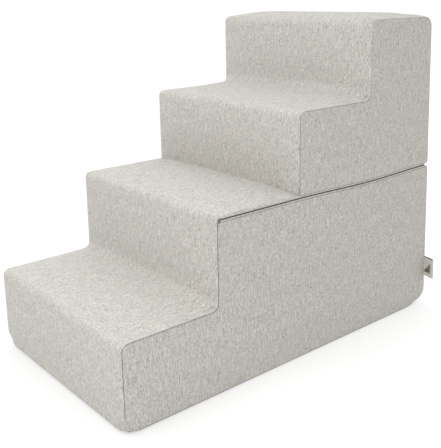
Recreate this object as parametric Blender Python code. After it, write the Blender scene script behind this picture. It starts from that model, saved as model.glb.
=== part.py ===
"""Four-step foam pet stair with a sewn linen-look cover.

The stair is two foam blocks in one cover.  The lower block carries steps 1 and 2
and reaches under the whole stair; the upper block carries steps 3 and 4.  A
concealed zip runs along the top edge of the lower block, round both sides and the
back, and stops at the two front corners of step 2.  Undone, everything above it
(tread 2 and the upper block) swings forward on the cloth at the front of step 2.

Frame: metres, +Z up, +Y the way a pet climbs, +X to the right of a climbing pet.
The origin is the middle of the base, on the floor.
"""
import math

import bmesh
import bpy
from mathutils import Vector

# Driving dimensions
WIDTH = 0.381
RUN = 0.1715
RISE = 0.1397
LID_RISE = 0.006          # tread 2 stands this far above the zip line
CLOTH = 0.0015            # cover cloth with its backing
GAP = 0.0003              # clearance between touching pieces
CORE_INSET = 0.0035       # cover face to foam face

# Radii of the side profile
NOSING_R = 0.012
INNER_R = 0.014
BOTTOM_R = 0.014
BACK_R = 0.018

# Zip
LIP_HALF_GAP = 0.0006     # half the slit between the two lips
LIP_REACH = 0.0042        # zip line to the far edge of a lip
TAPE = 0.0007
TAPE_DEPTH = 0.012
COIL_NEAR = 0.00015
COIL_FAR = 0.0014
COIL_WIDTH = 0.0011
TACK_THICK = 0.0006
TACK_LENGTH = 0.0022

# Label
LABEL_OUT = 0.022
LABEL_LOW = 0.055
LABEL_HIGH = 0.095
LABEL_PLY = 0.0006

# Worked out from the driving dimensions
HALF = WIDTH / 2
STEPS = 4
FRONT = -STEPS * RUN / 2
BACK = STEPS * RUN / 2
STEP_Y = [FRONT + RUN * index for index in range(STEPS)]
ZIP_Z = 2 * RISE
LID_TOP = ZIP_Z + LID_RISE
TOP = STEPS * RISE
INNER_HALF = HALF - CLOTH - GAP       # reach of a panel sewn between the side panels
UPPER_BOTTOM = LID_TOP - CLOTH        # lower edge of the upper block's panels
ZIP_START = STEP_Y[1] + LID_RISE + GAP
BASE_LIFT = 0.0025                    # lower edge of the wall panels
CORE_HALF = HALF - CORE_INSET
ARC_STEPS = 6

# Cloth hinge of the cap, just outside the front of step 2 at the height of the zip
HINGE_Y = STEP_Y[1] - 0.0008
HINGE_Z = ZIP_Z + 0.0005

# Slider and pull: "out" is measured outward from the left side of the cover
SLIDER_Y = STEP_Y[1] + 0.030
SLIDER_HALF_LENGTH = 0.005
SLIDER_HALF_HEIGHT = 0.0037
SLIDER_FACE = 0.0030
NECK_HALF_HEIGHT = 0.0003
NECK_IN = -0.0014
BRIDGE_TOP = 0.0056
BRIDGE_REACH = 0.0032
BRIDGE_WALL = 0.0008
BRIDGE_HALF_HEIGHT = 0.0011
PIN_OUT = 0.0039
PIN_R = 0.00055
ARM_NEAR = 0.0016
ARM_FAR = 0.0027
TAB_START = 0.0042
TAB_END = 0.024
TAB_HALF_HEIGHT = 0.0034
TAB_HALF_THICK = 0.0005


def clear_scene():
    for item in list(bpy.data.objects):
        bpy.data.objects.remove(item, do_unlink=True)


def make_material(name, colour, roughness, metallic=0.0):
    material = bpy.data.materials.new(name)
    material.use_nodes = True
    shader = material.node_tree.nodes["Principled BSDF"]
    shader.inputs["Base Color"].default_value = (*colour, 1.0)
    shader.inputs["Roughness"].default_value = roughness
    shader.inputs["Metallic"].default_value = metallic
    material.diffuse_color = (*colour, 1.0)
    return material


def new_object(name, shape, material, origin=(0.0, 0.0, 0.0)):
    """Make an object from a bmesh, with its own origin at the given point."""
    origin = Vector(origin)
    bmesh.ops.translate(shape, verts=shape.verts, vec=-origin)
    bmesh.ops.recalc_face_normals(shape, faces=shape.faces)
    mesh = bpy.data.meshes.new(name)
    shape.to_mesh(mesh)
    shape.free()
    mesh.materials.append(material)
    item = bpy.data.objects.new(name, mesh)
    item.location = origin
    bpy.context.scene.collection.objects.link(item)
    return item


def prism(points, start, stop, place):
    """Extrude a closed outline; place(a, b, c) turns an outline point and height into x, y, z."""
    shape = bmesh.new()
    corners = [shape.verts.new(place(a, b, start)) for a, b in points]
    face = shape.faces.new(corners)
    grown = bmesh.ops.extrude_face_region(shape, geom=[face])
    moved = [part for part in grown["geom"] if isinstance(part, bmesh.types.BMVert)]
    shift = Vector(place(0, 0, stop)) - Vector(place(0, 0, start))
    bmesh.ops.translate(shape, verts=moved, vec=shift)
    return shape


def side_prism(points, start, stop):
    return prism(points, start, stop, lambda y, z, x: (x, y, z))


def plan_prism(points, start, stop):
    return prism(points, start, stop, lambda x, y, z: (x, y, z))


def box(low, high):
    outline = [(low[0], low[1]), (high[0], low[1]), (high[0], high[1]), (low[0], high[1])]
    return plan_prism(outline, low[2], high[2])


def rounded(corners):
    """Side outline through square (y, z, radius) corners, each radius turned into an arc."""
    points = []
    for index, (y, z, radius) in enumerate(corners):
        here = Vector((y, z))
        if radius == 0:
            points.append(here)
            continue
        arrive = (Vector(corners[index - 1][:2]) - here).normalized() * radius
        leave = (Vector(corners[index + 1][:2]) - here).normalized() * radius
        middle = here + arrive + leave
        for step in range(ARC_STEPS + 1):
            angle = math.pi / 2 * step / ARC_STEPS
            points.append(middle - leave * math.cos(angle) - arrive * math.sin(angle))
    return points


def shifted(path, distance):
    """The path moved to its right-hand side by a distance, mitred at its points."""
    moved = []
    for index, here in enumerate(path):
        before = path[max(index - 1, 0)]
        after = path[min(index + 1, len(path) - 1)]
        arrive = here - before if index > 0 else after - here
        leave = after - here if index < len(path) - 1 else arrive
        right_in = Vector((arrive.y, -arrive.x)).normalized()
        right_out = Vector((leave.y, -leave.x)).normalized()
        middle = (right_in + right_out).normalized()
        moved.append(here + middle * (distance / middle.dot(right_in)))
    return moved


def pairs(path):
    return [tuple(point) for point in path]


def cloth_strip(path, half):
    """A strip of cloth along a side path, with its thickness on the inner side."""
    return side_prism(pairs(path + shifted(path, CLOTH)[::-1]), -half, half)


def foam_block(path):
    """A foam block under an outer side path, flat between the path's two ends."""
    return side_prism(pairs(shifted(path, CORE_INSET)), -CORE_HALF, CORE_HALF)


def side_panel(path, side):
    start, stop = sorted((side * HALF, side * (HALF - CLOTH)))
    return side_prism(pairs(path), start, stop)


def zip_band(outer, inner, low, high):
    """A band round the right side, the back and the left side, between two insets."""
    a, b = HALF - outer, HALF - inner
    c, d = BACK - outer, BACK - inner
    outline = [(a, ZIP_START), (a, c), (-a, c), (-a, ZIP_START)]
    outline += [(-b, ZIP_START), (-b, d), (b, d), (b, ZIP_START)]
    return plan_prism(outline, low, high)


# Outer side paths of the cover, each running the way the cover's outside is on its left
LOWER_STRIP = rounded([
    (FRONT + 2 * BOTTOM_R, 0.0, 0),
    (FRONT, 0.0, BOTTOM_R),
    (FRONT, RISE, NOSING_R),
    (STEP_Y[1], RISE, INNER_R),
    (STEP_Y[1], ZIP_Z - GAP, 0),
])[1:]
LID = rounded([
    (STEP_Y[1], ZIP_Z, 0),
    (STEP_Y[1], LID_TOP, LID_RISE),
    (STEP_Y[2] - GAP, LID_TOP, 0),
])[1:]
UPPER_STRIP = rounded([
    (STEP_Y[2], UPPER_BOTTOM, 0),
    (STEP_Y[2], 3 * RISE, NOSING_R),
    (STEP_Y[3], 3 * RISE, INNER_R),
    (STEP_Y[3], TOP, NOSING_R),
    (BACK - BACK_R - GAP, TOP, 0),
])
UPPER_BACK = rounded([
    (BACK - 2 * BACK_R, TOP, 0),
    (BACK, TOP, BACK_R),
    (BACK, UPPER_BOTTOM, 0),
])[1:]
LOWER_BACK = rounded([
    (BACK, ZIP_Z - LIP_REACH - GAP, 0),
    (BACK, 0.0, BACK_R),
    (BACK - 2 * BACK_R, 0.0, 0),
])[:-1]


def make_foam(foam):
    corner = Vector((BACK, LID_TOP))
    new_object("lower_foam", foam_block(LOWER_STRIP[:-1] + LID[1:-1] + [corner] + LOWER_BACK), foam)
    new_object("upper_foam", foam_block(UPPER_STRIP[:-1] + UPPER_BACK), foam)


def make_cover(cloth):
    new_object("lower_step_strip", cloth_strip(LOWER_STRIP, INNER_HALF), cloth)
    new_object("lower_back_panel", cloth_strip(LOWER_BACK, INNER_HALF), cloth)
    new_object("tread_2_panel", cloth_strip(LID, HALF), cloth)
    new_object("upper_step_strip", cloth_strip(UPPER_STRIP, INNER_HALF), cloth)
    new_object("upper_back_panel", cloth_strip(UPPER_BACK, INNER_HALF), cloth)
    edge = LOWER_BACK[0].y
    front = [point for point in LOWER_STRIP if point.y < edge] + [Vector((STEP_Y[1], edge))]
    lower_wall = [Vector((point.x, max(point.y, BASE_LIFT))) for point in front + LOWER_BACK]
    upper_wall = UPPER_STRIP[:-1] + UPPER_BACK
    for name, side in (("left", -1), ("right", 1)):
        new_object(f"lower_{name}_side", side_panel(lower_wall, side), cloth)
        new_object(f"upper_{name}_side", side_panel(upper_wall, side), cloth)


def make_base_and_liner(grip, liner):
    low = (-INNER_HALF, FRONT + BOTTOM_R + GAP, 0.0)
    high = (INNER_HALF, BACK - BACK_R - GAP, CORE_INSET - GAP)
    new_object("nonslip_base", box(low, high), grip)
    low = (-CORE_HALF, STEP_Y[2], LID_TOP - CORE_INSET + GAP)
    high = (CORE_HALF, BACK - CORE_INSET, UPPER_BOTTOM - GAP)
    new_object("upper_inner_base", box(low, high), liner)


def make_zip(cloth, tape, coil, thread):
    sewn = CLOTH + GAP
    bands = (
        ("flap", cloth, 0.0, CLOTH, LIP_HALF_GAP, LIP_REACH, LIP_REACH),
        ("tape", tape, sewn, sewn + TAPE, COIL_FAR + GAP, TAPE_DEPTH, LIP_REACH),
        ("coil", coil, sewn, sewn + COIL_WIDTH, COIL_NEAR, COIL_FAR, COIL_FAR),
    )
    for name, material, outer, inner, near, below, above in bands:
        lower = zip_band(outer, inner, ZIP_Z - below, ZIP_Z - near)
        upper = zip_band(outer, inner, ZIP_Z + near, ZIP_Z + above)
        new_object(f"lower_zip_{name}", lower, material)
        new_object(f"upper_zip_{name}", upper, material)
    for name, side in (("left", -1), ("right", 1)):
        start, stop = sorted((side * (HALF + GAP), side * (HALF + GAP + TACK_THICK)))
        low = (start, ZIP_START, ZIP_Z - LIP_REACH)
        high = (stop, ZIP_START + TACK_LENGTH, ZIP_Z + LIP_REACH)
        new_object(f"zip_end_tack_{name}", box(low, high), thread)


def outward_box(out, along, height, middle):
    """A box at a distance out from the left side, along Y and up from a middle point."""
    low = (-HALF - out[1], middle[1] + along[0], middle[2] + height[0])
    high = (-HALF - out[0], middle[1] + along[1], middle[2] + height[1])
    return box(low, high)


def cutter(shape, material):
    item = new_object("cutter", shape, material)
    item.hide_render = True
    item.display_type = "WIRE"
    return item


def join(name, shapes, material, origin):
    """One solid from overlapping shapes, by Boolean unions that are applied at once."""
    base = new_object(name, shapes[0], material, origin)
    for shape in shapes[1:]:
        extra = cutter(shape, material)
        union = base.modifiers.new("union", "BOOLEAN")
        union.operation = "UNION"
        union.solver = "EXACT"
        union.object = extra
        bpy.context.view_layer.update()
        solid = bpy.data.meshes.new_from_object(base.evaluated_get(bpy.context.evaluated_depsgraph_get()))
        base.modifiers.clear()
        base.data = solid
        bpy.data.objects.remove(extra, do_unlink=True)
    return base


def make_slider(metal):
    middle = (0.0, SLIDER_Y, ZIP_Z)
    length = SLIDER_HALF_LENGTH
    height = SLIDER_HALF_HEIGHT
    bridge = (-BRIDGE_HALF_HEIGHT, BRIDGE_HALF_HEIGHT)
    overlap = 0.0002
    shapes = [
        outward_box((GAP, SLIDER_FACE), (-length, length), (-height, height), middle),
        outward_box(
            (NECK_IN, GAP + overlap),
            (-length + overlap, length - overlap),
            (-NECK_HALF_HEIGHT, NECK_HALF_HEIGHT),
            middle,
        ),
        outward_box(
            (BRIDGE_TOP - BRIDGE_WALL, BRIDGE_TOP), (-BRIDGE_REACH, BRIDGE_REACH), bridge, middle
        ),
    ]
    for side in (-1, 1):
        along = sorted((side * (BRIDGE_REACH - BRIDGE_WALL), side * (BRIDGE_REACH - overlap / 4)))
        shapes.append(
            outward_box((SLIDER_FACE - overlap, BRIDGE_TOP - overlap), along, bridge, middle)
        )
    return join("zip_slider", shapes, metal, (-HALF, SLIDER_Y, ZIP_Z))


def make_pull(metal):
    """The pull tab: a cross bar under the slider's bridge, two arms and a grip."""
    middle = (0.0, SLIDER_Y, ZIP_Z)
    thick = (PIN_OUT - TAB_HALF_THICK, PIN_OUT + TAB_HALF_THICK)
    overlap = 0.0002
    bar = bmesh.new()
    bmesh.ops.create_cone(
        bar,
        cap_ends=True,
        segments=12,
        radius1=PIN_R,
        radius2=PIN_R,
        depth=2 * (ARM_FAR - overlap),
    )
    bmesh.ops.translate(bar, verts=bar.verts, vec=(-HALF - PIN_OUT, SLIDER_Y, ZIP_Z))
    grip = outward_box(
        thick, (-TAB_END, -TAB_START), (-TAB_HALF_HEIGHT, TAB_HALF_HEIGHT), middle
    )
    shapes = [grip, bar]
    for side in (-1, 1):
        height = sorted((side * ARM_NEAR, side * ARM_FAR))
        shapes.append(outward_box(thick, (-TAB_START - overlap, TAB_HALF_THICK), height, middle))
    return join("zip_pull", shapes, metal, (-HALF - PIN_OUT, SLIDER_Y, ZIP_Z))


def make_label(ribbon):
    """A folded ribbon loop sewn into the rear right corner, sticking out to the right."""
    near = HALF + GAP
    far = HALF + LABEL_OUT
    outline = [
        (near, BACK),
        (near, BACK - LABEL_PLY),
        (far - LABEL_PLY, BACK - LABEL_PLY),
        (far - LABEL_PLY, BACK - 2 * LABEL_PLY),
        (near, BACK - 2 * LABEL_PLY),
        (near, BACK - 3 * LABEL_PLY),
        (far, BACK - 3 * LABEL_PLY),
        (far, BACK),
    ]
    new_object("side_label", plan_prism(outline, LABEL_LOW, LABEL_HIGH), ribbon)


def group_moving_pieces(pull, slider):
    """Hang each moving group from an empty that stands on its joint."""
    cap_hinge = bpy.data.objects.new("cap_hinge", None)
    cap_hinge.location = (0.0, HINGE_Y, HINGE_Z)
    bpy.context.scene.collection.objects.link(cap_hinge)
    bpy.context.view_layer.update()
    for item in list(bpy.data.objects):
        if item.type == "MESH" and item.name.startswith(("upper_", "tread_2")):
            item.parent = cap_hinge
            item.matrix_parent_inverse = cap_hinge.matrix_world.inverted()
    pull.parent = slider
    pull.matrix_parent_inverse = slider.matrix_world.inverted()


def main():
    clear_scene()
    cloth = make_material("linen_cloth", (0.50, 0.47, 0.42), 0.9)
    foam = make_material("foam", (0.85, 0.83, 0.76), 0.95)
    grip = make_material("grip_cloth", (0.07, 0.07, 0.075), 0.8)
    liner = make_material("liner", (0.75, 0.74, 0.71), 0.9)
    tape = make_material("zip_tape", (0.34, 0.32, 0.28), 0.8)
    coil = make_material("zip_coil", (0.30, 0.28, 0.25), 0.45)
    thread = make_material("thread", (0.42, 0.39, 0.34), 0.7)
    metal = make_material("slider_metal", (0.35, 0.34, 0.33), 0.4, 0.9)
    ribbon = make_material("label_ribbon", (0.80, 0.78, 0.72), 0.7)
    make_foam(foam)
    make_cover(cloth)
    make_base_and_liner(grip, liner)
    make_zip(cloth, tape, coil, thread)
    make_label(ribbon)
    slider = make_slider(metal)
    pull = make_pull(metal)
    group_moving_pieces(pull, slider)


main()
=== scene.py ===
"""The looks of the foam pet stair: sewn cover, zip, label and foam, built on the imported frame.

Every size comes from the frame's own nodes.  Metres, +Z up, +Y the way a pet climbs, +X the
side with the label.  A side path is a list of (y, z) points with the cover's outside on its left.
"""
import math

import bmesh
import bpy
import numpy as np
from mathutils import Matrix, Vector, geometry, noise
from mathutils.kdtree import KDTree


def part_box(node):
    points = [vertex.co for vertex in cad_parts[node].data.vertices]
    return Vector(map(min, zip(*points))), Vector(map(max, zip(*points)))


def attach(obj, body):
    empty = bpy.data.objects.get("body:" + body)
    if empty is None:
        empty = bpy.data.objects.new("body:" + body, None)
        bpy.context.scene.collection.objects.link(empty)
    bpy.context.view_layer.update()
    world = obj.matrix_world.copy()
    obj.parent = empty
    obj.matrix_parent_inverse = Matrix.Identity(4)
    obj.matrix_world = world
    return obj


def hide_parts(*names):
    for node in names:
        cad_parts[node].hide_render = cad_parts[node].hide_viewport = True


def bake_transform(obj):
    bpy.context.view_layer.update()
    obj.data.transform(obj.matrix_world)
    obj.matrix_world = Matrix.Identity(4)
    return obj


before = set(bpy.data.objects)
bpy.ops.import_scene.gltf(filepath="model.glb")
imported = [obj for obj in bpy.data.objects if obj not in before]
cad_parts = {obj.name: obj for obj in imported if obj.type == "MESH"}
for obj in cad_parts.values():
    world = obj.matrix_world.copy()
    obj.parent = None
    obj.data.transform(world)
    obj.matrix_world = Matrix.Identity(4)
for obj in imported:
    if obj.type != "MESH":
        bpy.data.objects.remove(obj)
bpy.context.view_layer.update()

# ---------------------------------------------------------------- sizes, from the frame
side_low, side_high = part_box("lower_right_side")
HALF = side_high.x
FRONT, BACK = side_low.y, side_high.y
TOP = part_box("upper_right_side")[1].z
RUN = (BACK - FRONT) / 4
RISE = TOP / 4
STEP_Y = [FRONT + RUN * index for index in range(4)]
ZIP_Z = 2 * RISE
LID_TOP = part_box("tread_2_panel")[1].z

# ---------------------------------------------------------------- sizes of the sewing
SEAM = 0.0008             # a panel edge rolls in this far to its seam
CLOTH = 0.0014
NOSING_R = 0.011
INNER_R = 0.011
LID_R = 0.009
TOP_BACK_R = 0.018
FOAM_R = 0.018
FOAM_REAR_R = 0.028       # the foam's edge along the floor at the back
CROWN = 0.0024            # how far a panel stands out over the foam
CROWN_REACH = 0.055       # from a panel's edge to its full crown
SIDE_REACH = 0.075
LIP_FAR = 0.0034          # zip line to the seam of a lip
LIP_NEAR = 0.0009
LIP_THICK = 0.0013
VALLEY = 0.0007           # the cover dips in to the zip on the sides
BACK_VALLEY = 0.0022      # and more at the back
VALLEY_REACH = 0.007
REAR_REACH = 0.045        # the back's dip fades out this far round the rear corners
DROOP = 0.0034            # the right side's zip hangs this much between riser 3 and the back
DROOP_REACH = 0.022
TUCK = {"side": 0.008, "front": 0.009, "back": 0.022}
CORNER_TUCK = 0.007       # and further at the corners
CORNER_REACH = 0.022
CORNER_TALL = 0.030
REAR_FOOT = 0.0095        # the back leans: out by this much at the floor,
REAR_TOP = -0.0045        # and in at the top
TOP_SAG = 0.0045          # the top's edges are drawn down this much by their seams
TOP_SAG_REACH = 0.07
TOP_SAG_TALL = 0.09
BRIDGE = 0.030            # between its side seams the cover cuts an inner corner off, half this far out
BRIDGE_REACH = 0.06
BRIDGE_RUN = 0.09
FOOT_FLARE = 0.003        # riser 3 spreads this much where it stands on tread 2
FOOT_TALL = 0.018
STEP = 0.005              # spacing of the cover's mesh

# Wrinkles, each a height, how many to a metre and a seed of its own.
RIPPLE = (0.0010, 12, 1)
PUCKER = (0.00035, 75, 2)
GATHER = (0.0013, 95, 3)
SIDE_RIPPLE = (0.0006, 11, 5)
SIDE_PUCKER = (0.0003, 70, 8)
FOAM_WAVES = (0.0004, 16, 12)
LINER_SLACK = (0.0005, 22, 15)
BASE_SLACK = (0.0002, 20, 17)
PUCKER_REACH = 0.016      # puckers and gathers fade out this far from their seam or crease
SIDE_PUCKER_REACH = 0.014


# ---------------------------------------------------------------- small mesh helpers
def unit(vector):
    return vector / max(float(np.linalg.norm(vector)), 1e-12)


def units(rows):
    return rows / np.linalg.norm(rows, axis=1)[:, None]


def lengths(points):
    """How far along a line each of its points is."""
    return np.concatenate([[0], np.cumsum(np.linalg.norm(np.diff(points, axis=0), axis=1))])


def side_path(corners, spacing=STEP):
    """Points, outward normals and arc length of a side path with square, rounded corners."""
    points = []
    for index, (y, z, radius) in enumerate(corners):
        here = np.array((y, z))
        if radius == 0:
            points.append(here)
            continue
        arrive = unit(np.array(corners[index - 1][:2]) - here) * radius
        leave = unit(np.array(corners[index + 1][:2]) - here) * radius
        middle = here + arrive + leave
        count = max(5, int(round(radius / 0.0014)))
        for angle in np.linspace(0, math.pi / 2, count + 1):
            points.append(middle - leave * math.cos(angle) - arrive * math.sin(angle))
    dense = [points[0]]
    for here, after in zip(points, points[1:]):
        pieces = max(1, int(round(np.linalg.norm(after - here) / spacing)))
        dense += [here + (after - here) * k / pieces for k in range(1, pieces + 1)]
    dense = np.array([p for i, p in enumerate(dense) if i == 0 or np.linalg.norm(p - dense[i - 1]) > 1e-7])
    tangent = units(np.gradient(dense, axis=0))
    return dense, np.stack([-tangent[:, 1], tangent[:, 0]], 1), lengths(dense)


def ease(value):
    value = np.clip(value, 0, 1)
    return value * value * (3 - 2 * value)


def pillow(distance, reach=CROWN_REACH):
    """0 at a panel's edge, rising to 1 like the side of a pillow."""
    return 1 - (1 - np.clip(distance / reach, 0, 1)) ** 2.4


def wrinkle(points, kind, turn=0):
    """Smooth noise of one kind of wrinkle at each point."""
    height, scale, seed = kind
    shift = Vector((3.1, 1.7, 2.3)) * (seed + turn)
    return height * np.array([noise.noise(Vector(p) * scale + shift) for p in points])


def valley(z, distance):
    """How far the cover dips in beside the zip line."""
    return distance * (1 - ease(np.abs(z - ZIP_Z) / VALLEY_REACH)) ** 1.5


def tuck(points):
    """Round the bottom edges of the lower cover by drawing its walls in near the floor."""
    points = points.copy()
    z = points[:, 2]

    def drawn_in(radius):
        lift = np.clip(radius - z, 0, radius)
        return radius - np.sqrt(radius * radius - lift * lift)

    near_side = ease(1 - (HALF - np.abs(points[:, 0])) / CORNER_REACH)
    near_end = ease(1 - (BACK - np.abs(points[:, 1])) / CORNER_REACH)
    corner = CORNER_TUCK * near_side * near_end * np.clip(1 - z / CORNER_TALL, 0, 1) ** 1.5
    points[:, 0] *= 1 - (drawn_in(TUCK["side"]) + corner) / HALF
    reach = np.where(points[:, 1] < 0, drawn_in(TUCK["front"]), drawn_in(TUCK["back"]))
    points[:, 1] *= 1 - (reach + corner) / BACK
    return points


def add_object(name, mesh):
    item = bpy.data.objects.new(name, mesh)
    bpy.context.scene.collection.objects.link(item)
    return item


def build(name, points, faces, uvs=None):
    mesh = bpy.data.meshes.new(name)
    mesh.from_pydata([tuple(p) for p in points], [], [tuple(f) for f in faces])
    mesh.update()
    if uvs is not None:
        layer = mesh.uv_layers.new(name="cloth")
        loops = np.empty(len(mesh.loops), np.int64)
        mesh.loops.foreach_get("vertex_index", loops)
        layer.data.foreach_set("uv", np.asarray(uvs, np.float32)[loops].ravel())
    mesh.shade_smooth()
    return add_object(name, mesh)


def grid_faces(rows, columns, close_rows=False, close_columns=False):
    """Faces of a grid of points; a closed row or column meets itself."""
    faces = []
    for i in range(rows if close_rows else rows - 1):
        for j in range(columns if close_columns else columns - 1):
            here, after = i * columns, (i + 1) % rows * columns
            beside = (j + 1) % columns
            faces.append((here + j, here + beside, after + beside, after + j))
    return faces


def solid_faces(rings, sides):
    """Faces of a closed solid made of rings of points."""
    ends = [tuple(range(start, start + sides)) for start in (0, (rings - 1) * sides)]
    return grid_faces(rings, sides, close_columns=True) + ends


def outward(item, fill=False):
    """Point every face of a mesh outward, after filling its open ends where asked."""
    shape = bmesh.new()
    shape.from_mesh(item.data)
    if fill:
        bmesh.ops.holes_fill(shape, edges=[edge for edge in shape.edges if edge.is_boundary], sides=0)
    bmesh.ops.recalc_face_normals(shape, faces=shape.faces)
    shape.to_mesh(item.data)
    shape.free()


def face_outward(item, inside):
    """Give a sheet one outward side, away from the point inside."""
    outward(item)
    mesh = item.data
    away = [face.normal.dot(face.center - Vector(inside)) * face.area for face in mesh.polygons]
    if sum(away) < 0:
        mesh.flip_normals()


def thicken(item, amount=CLOTH):
    solid = item.modifiers.new("thickness", "SOLIDIFY")
    solid.thickness = amount
    solid.offset = -1
    solid.use_even_offset = False
    apply_modifiers(item)


def apply_modifiers(item):
    depsgraph = bpy.context.evaluated_depsgraph_get()
    mesh = bpy.data.meshes.new_from_object(item.evaluated_get(depsgraph))
    item.modifiers.clear()
    old = item.data
    item.data = mesh
    bpy.data.meshes.remove(old)


def finish_piece(item, material, body, nodes):
    item.data.materials.clear()
    item.data.materials.append(material)
    if body:
        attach(item, body)
    if nodes:
        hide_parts(*nodes)


# ---------------------------------------------------------------- cloth over foam, simulated
VOXEL = 0.011             # spacing of the simulated cover
MOST_PUFF = 0.004         # it moves at most this far
FRAMES = 20
CLOTH_SETTINGS = {
    "quality": 5, "mass": 0.3, "tension_stiffness": 12, "compression_stiffness": 12,
    "bending_stiffness": 2.5, "shrink_min": -0.03, "use_pressure": True, "uniform_pressure_force": 4,
    "vertex_group_mass": "seams",
}


def nearest_tree(points):
    tree = KDTree(len(points))
    for index, point in enumerate(points):
        tree.insert(point, index)
    tree.balance()
    return tree


def simulate_block(name, outline):
    """Inflate a block's cover with pressure, its seams pinned, and return how each point moved.

    The block is a side outline drawn across the stair's width.  The result is a function that
    gives the cover's outward movement at any points near the block.
    """
    columns = np.linspace(-HALF, HALF, int(2 * HALF / VOXEL) + 1)
    points = [(x, y, z) for y, z in outline for x in columns]
    item = build(name, points, grid_faces(len(outline), len(columns), close_rows=True))
    outward(item, fill=True)
    remesh = item.modifiers.new("remesh", "REMESH")
    remesh.mode = "VOXEL"
    remesh.voxel_size = VOXEL
    apply_modifiers(item)
    rest = np.array([v.co for v in item.data.vertices])
    seams = nearest_tree([(x, y, z) for y, z in outline for x in (-HALF, HALF)])
    held = [i for i, p in enumerate(rest) if seams.find(p)[2] < 1.1 * VOXEL or p[2] < VOXEL]
    item.vertex_groups.new(name="seams").add(held, 1.0, "REPLACE")
    cloth = item.modifiers.new("cover", "CLOTH")
    for key, value in CLOTH_SETTINGS.items():
        setattr(cloth.settings, key, value)
    cloth.settings.effector_weights.gravity = 0
    cloth.collision_settings.use_collision = False
    cloth.point_cache.frame_start = 1
    cloth.point_cache.frame_end = FRAMES
    scene = bpy.context.scene
    for number in range(1, FRAMES + 1):
        scene.frame_set(number)
    moved = item.evaluated_get(bpy.context.evaluated_depsgraph_get())
    final = np.array([v.co for v in moved.data.vertices])
    normals = np.array([v.normal for v in item.data.vertices])
    out = np.einsum("ij,ij->i", final - rest, normals)
    scene.frame_set(1)
    mesh = item.data
    bpy.data.objects.remove(item, do_unlink=True)
    bpy.data.meshes.remove(mesh)
    out = MOST_PUFF * np.tanh(out / max(float(np.percentile(np.abs(out), 90)), 1e-6))
    tree = nearest_tree(rest)

    def movement(points):
        values = []
        for point in points:
            near = tree.find_n(point, 6)
            weights = [1 / (distance + 0.002) ** 2 for _, _, distance in near]
            total = sum(weight * out[index] for weight, (_, index, _) in zip(weights, near))
            values.append(total / sum(weights))
        return np.array(values)

    return movement


# ---------------------------------------------------------------- cover panels
ROLL = np.radians([0, 20, 40, 58, 75, 90])


def leaned(z):
    """How far the back stands out behind the frame's back, at a height."""
    return REAR_FOOT + (REAR_TOP - REAR_FOOT) * z / TOP


def pinch(points):
    """Draw the cover in beside the zip, lean its back and let the edges of its top sag."""
    points = points.copy()
    z = points[:, 2]
    points[:, 0] *= 1 - valley(z, VALLEY) / HALF
    behind = ease((points[:, 1] - BACK + REAR_REACH) / REAR_REACH)
    points[:, 1] -= valley(z, BACK_VALLEY) * behind
    along_side = np.clip((points[:, 1] - STEP_Y[2]) / (BACK - STEP_Y[2]), 0, 1)
    droop = DROOP * np.sin(math.pi * along_side) ** 2 * ease(points[:, 0] / HALF)
    points[:, 2] -= droop * np.exp(-(((z - ZIP_Z) / DROOP_REACH) ** 2))
    points[:, 1] += leaned(z) * ease((points[:, 1] - STEP_Y[3]) / RUN)
    to_end = np.minimum(points[:, 1] - STEP_Y[3], BACK - points[:, 1])
    edge = np.maximum(np.minimum(HALF - np.abs(points[:, 0]), to_end), 0)
    high = ease((z - TOP + TOP_SAG_TALL) / TOP_SAG_TALL)
    points[:, 2] -= TOP_SAG * (1 - pillow(edge, TOP_SAG_REACH)) * high
    return points


def tub_shape(points):
    return tuck(pinch(points))


def end_rows(length, start_roll, end_roll):
    """Arc lengths of a strip's rows, close together where its ends roll in."""
    first = [start_roll * (1 - math.cos(angle)) for angle in ROLL] if start_roll else [0.0]
    last = [length - end_roll * (1 - math.cos(angle)) for angle in ROLL] if end_roll else [length]
    inner = last[-1] - first[-1]
    count = max(2, int(round(inner / (STEP * 0.8))))
    middle = [first[-1] + inner * k / count for k in range(1, count)]
    return np.array(first + middle + last[::-1])


def along(path, rows):
    points, normals, length = path
    here = np.stack([np.interp(rows, length, points[:, k]) for k in (0, 1)], 1)
    out = np.stack([np.interp(rows, length, normals[:, k]) for k in (0, 1)], 1)
    return here, units(out)


def place_on(path, y, z):
    """Arc length of the path's nearest point to a corner."""
    points, _, length = path
    return length[np.argmin(np.hypot(points[:, 0] - y, points[:, 1] - z))]


def crown_along(rows, places, shares):
    """A panel's crown along a strip: held at each corner's share, full between the corners."""
    places = np.array(places)
    held = np.interp(rows, places, shares)
    index = np.clip(np.searchsorted(places, rows, side="right") - 1, 0, len(places) - 2)
    part = np.clip((rows - places[index]) / (places[index + 1] - places[index]), 0, 1)
    return held + (1 - held) * (1 - np.abs(2 * part - 1) ** 3)


def bridged(rows, corner):
    """How far forward and up the cover, pulled straight, stands off the foam at an inner corner."""
    past = rows - corner
    fade = np.exp(-(past / BRIDGE_RUN) ** 4)

    def smooth(run, width):
        return (np.sqrt(run * run + width * width) + run) / 2

    return [fade * (smooth(run, BRIDGE) - smooth(run, 0.6 * INNER_R)) for run in (-past, past)]


def mirrored(grid):
    return np.concatenate([grid, grid[:, -2::-1]], 1)


def strip_columns(inset, width, depth):
    """Distance from the side seam and depth of its roll, for each point across each row of a strip.

    The points are close together in the roll, and wider apart further in.
    """
    flat = np.concatenate([[0.0015, 0.0035, 0.0065, 0.0105], np.arange(0.0155, HALF - 0.01, STEP)])
    share = np.append(flat / (HALF - 2 * SEAM), 1.0)
    inset, width, depth = inset[:, None], width[:, None], depth[:, None]
    flat = inset + width + (HALF - inset - width) * share
    distance = mirrored(np.concatenate([inset + width * (1 - np.cos(ROLL)), flat], 1))
    return distance, mirrored(np.concatenate([depth * (1 - np.sin(ROLL)), np.zeros_like(flat)], 1))


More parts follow.
